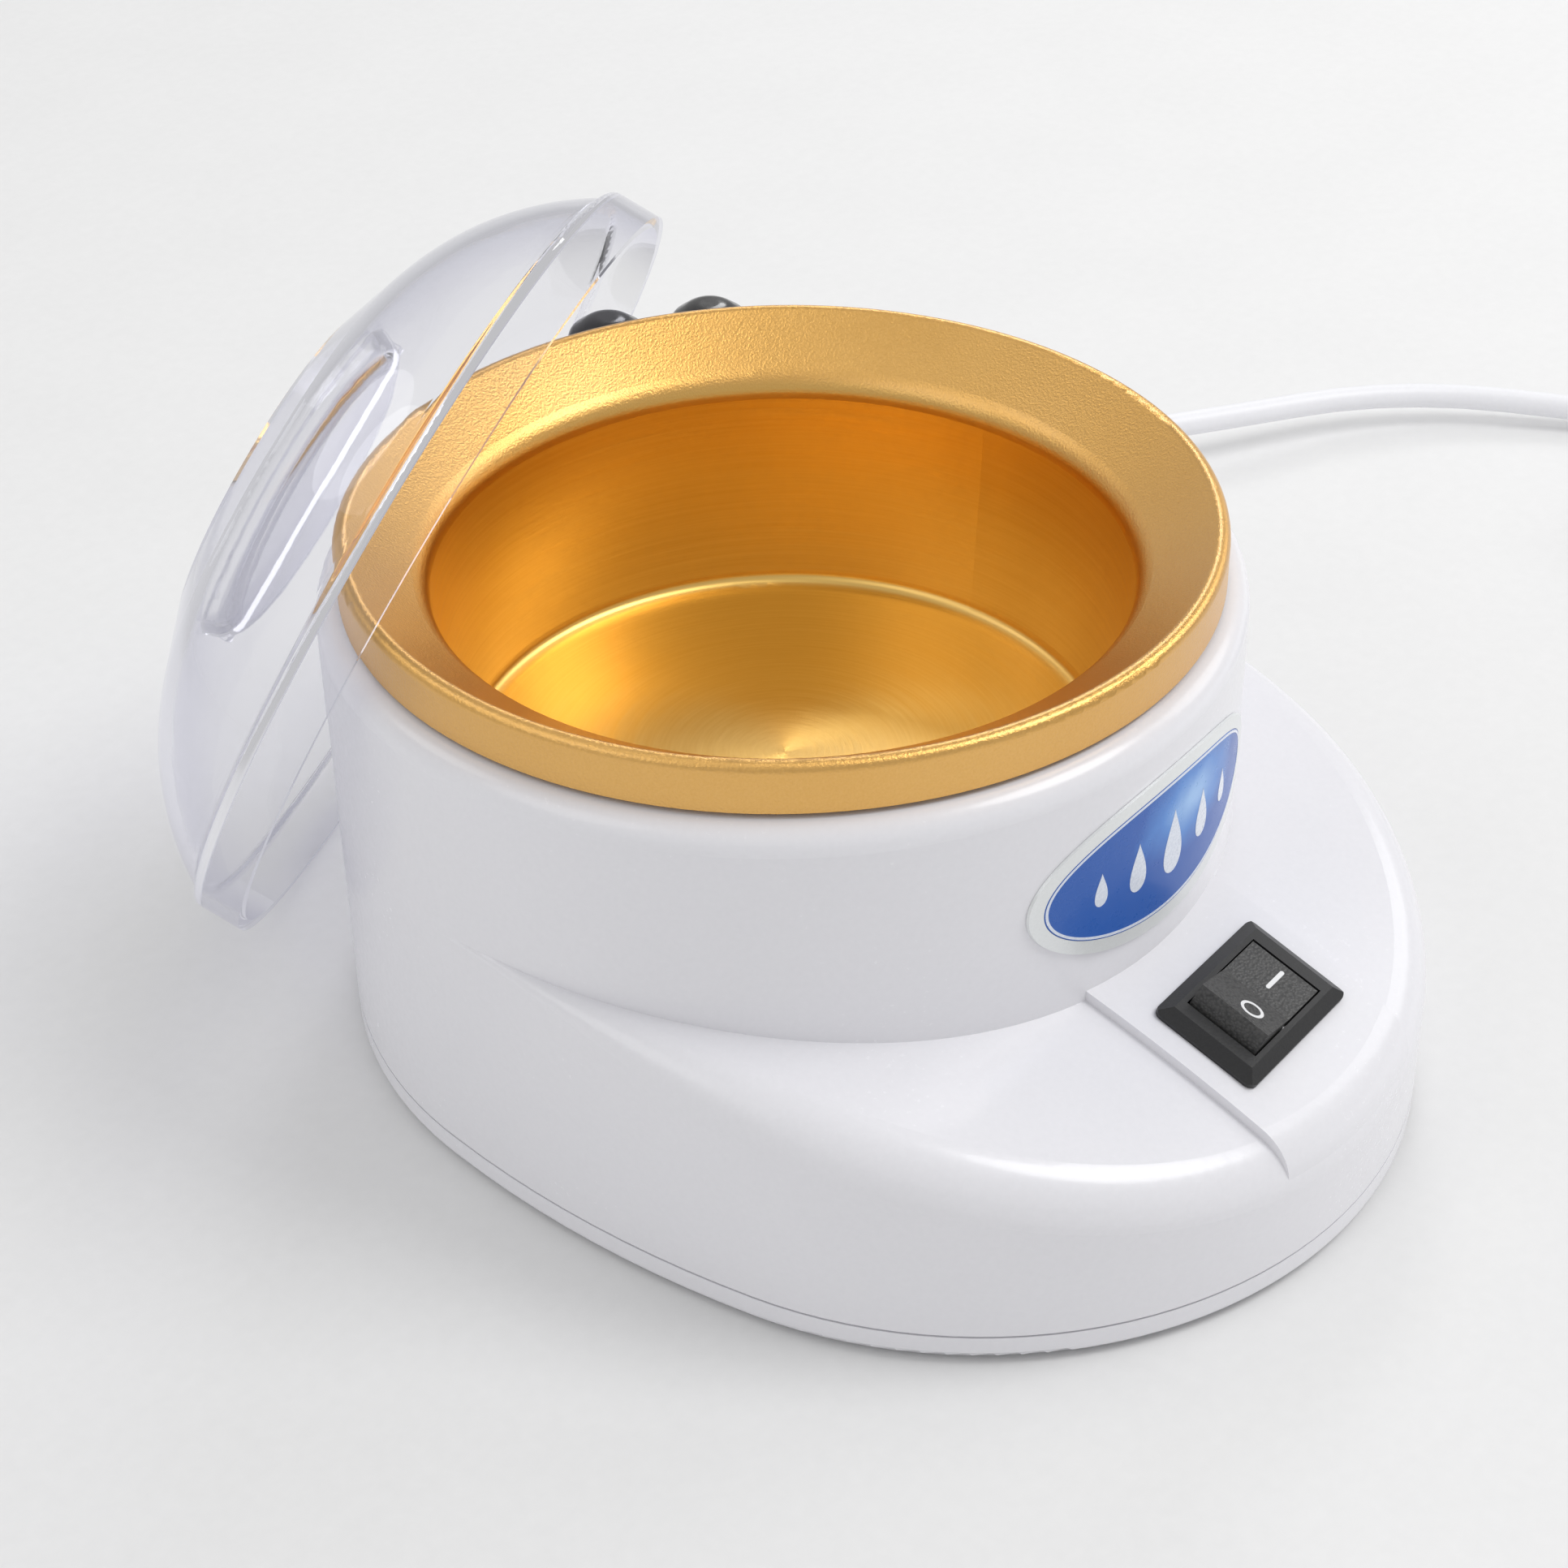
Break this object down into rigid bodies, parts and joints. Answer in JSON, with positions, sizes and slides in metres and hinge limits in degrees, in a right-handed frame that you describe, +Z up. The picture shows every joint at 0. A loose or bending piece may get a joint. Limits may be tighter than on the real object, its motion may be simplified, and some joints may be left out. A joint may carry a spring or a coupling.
{
  "type": "wax heater",
  "caption": "Round electric wax heater with a lift-out flared metal pot, a sloped front deck with a rocker switch, a loose clear domed lid and a mains cord.",
  "frame": {"origin": "on the table, in the plane of the four feet, under the pot's axis", "axes": "+Z up along the pot's axis, the front deck and switch towards -Y, the cord leaving towards +X and +Y"},
  "size_m": [0.3885, 0.3342, 0.1371],
  "materials": {
    "white_plastic": "gloss, moulded",
    "gold_aluminium": "satin, gold anodised",
    "clear_plastic": "gloss, clear moulded",
    "black_plastic": "satin moulded",
    "rocker_plastic": "fine grained",
    "knob_plastic": "gloss, heat proof",
    "badge_silver": "polished",
    "badge_blue": "gloss, doming resin",
    "bare_aluminium": "satin",
    "steel": "plated",
    "brass": "bright",
    "rubber": "matte",
    "silicone": "matte",
    "heater_mica": "matte",
    "insulation": "felted fibre",
    "ceramic": "matte",
    "block_plastic": "matte",
    "lead_sheath": "matte glass braid",
    "cord_sheath": "satin",
    "tie_plastic": "matte"
  },
  "bodies": {
    "housing": {"upper_housing": "white_plastic", "base_plate": "white_plastic", "rubber_feet": "rubber", "base_screws": "steel", "badge_rim": "badge_silver", "badge_face": "badge_blue", "heating_well": "bare_aluminium", "well_gasket": "silicone", "well_screws": "steel", "band_heater": "heater_mica", "band_straps": "steel", "strap_screws": "steel", "insulation_sleeve": "insulation", "disc_heater": "heater_mica", "clamp_plate": "steel", "clamp_nut": "steel", "thermostat": "ceramic", "thermostat_screws": "steel", "thermal_fuse": "steel", "fuse_saddle": "steel", "saddle_screw": "steel", "heat_shield": "bare_aluminium", "shield_screws": "steel", "switch_body": "black_plastic", "rocker_pin": "steel", "switch_terminals": "brass", "strain_relief": "white_plastic", "cord_end": "cord_sheath", "cord_clamp": "block_plastic", "clamp_screws": "steel", "terminal_block": "block_plastic", "block_screws": "steel", "supply_leads": "lead_sheath", "live_lead": "lead_sheath", "switched_lead": "lead_sheath", "fuse_lead": "lead_sheath", "heater_lead": "lead_sheath", "neutral_lead": "lead_sheath", "power_cord": "cord_sheath", "cord_coil": "cord_sheath", "cord_tie": "tie_plastic", "plug_lead": "cord_sheath", "plug_body": "cord_sheath", "plug_pins": "steel"},
    "pot": {"wax_pot": "gold_aluminium", "lift_bracket": "steel", "bracket_rivets": "bare_aluminium", "lift_knobs": "knob_plastic", "knob_screws": "steel"},
    "lid": {"clear_lid": "clear_plastic"},
    "rocker": {"switch_rocker": "rocker_plastic", "plunger": "brass", "plunger_spring": "steel"},
    "lever": {"contact_lever": "brass"}
  },
  "joints": [
    {"name": "pot_lift", "type": "slide", "parent": "housing", "child": "pot", "axis": [0, 0, 1], "range_m": [0, 0.09]},
    {"name": "lid_lift", "type": "slide", "parent": "pot", "child": "lid", "axis": [-0.3062, 0.8458, 0.4368], "range_m": [0, 0.12]},
    {"name": "rocker_turn", "type": "hinge", "parent": "housing", "child": "rocker", "pos_m": [0, -0.0959, 0.03647], "axis": [0, -0.9435, -0.3313], "range_deg": [0, 20]},
    {"name": "lever_turn", "type": "hinge", "parent": "housing", "child": "lever", "pos_m": [0, -0.09265, 0.02722], "axis": [0, -0.9435, -0.3313], "range_deg": [-10, 0]}
  ],
  "couplings": [
    {"joint": "lever_turn", "follows": "rocker_turn", "ratio": -0.5}
  ]
}
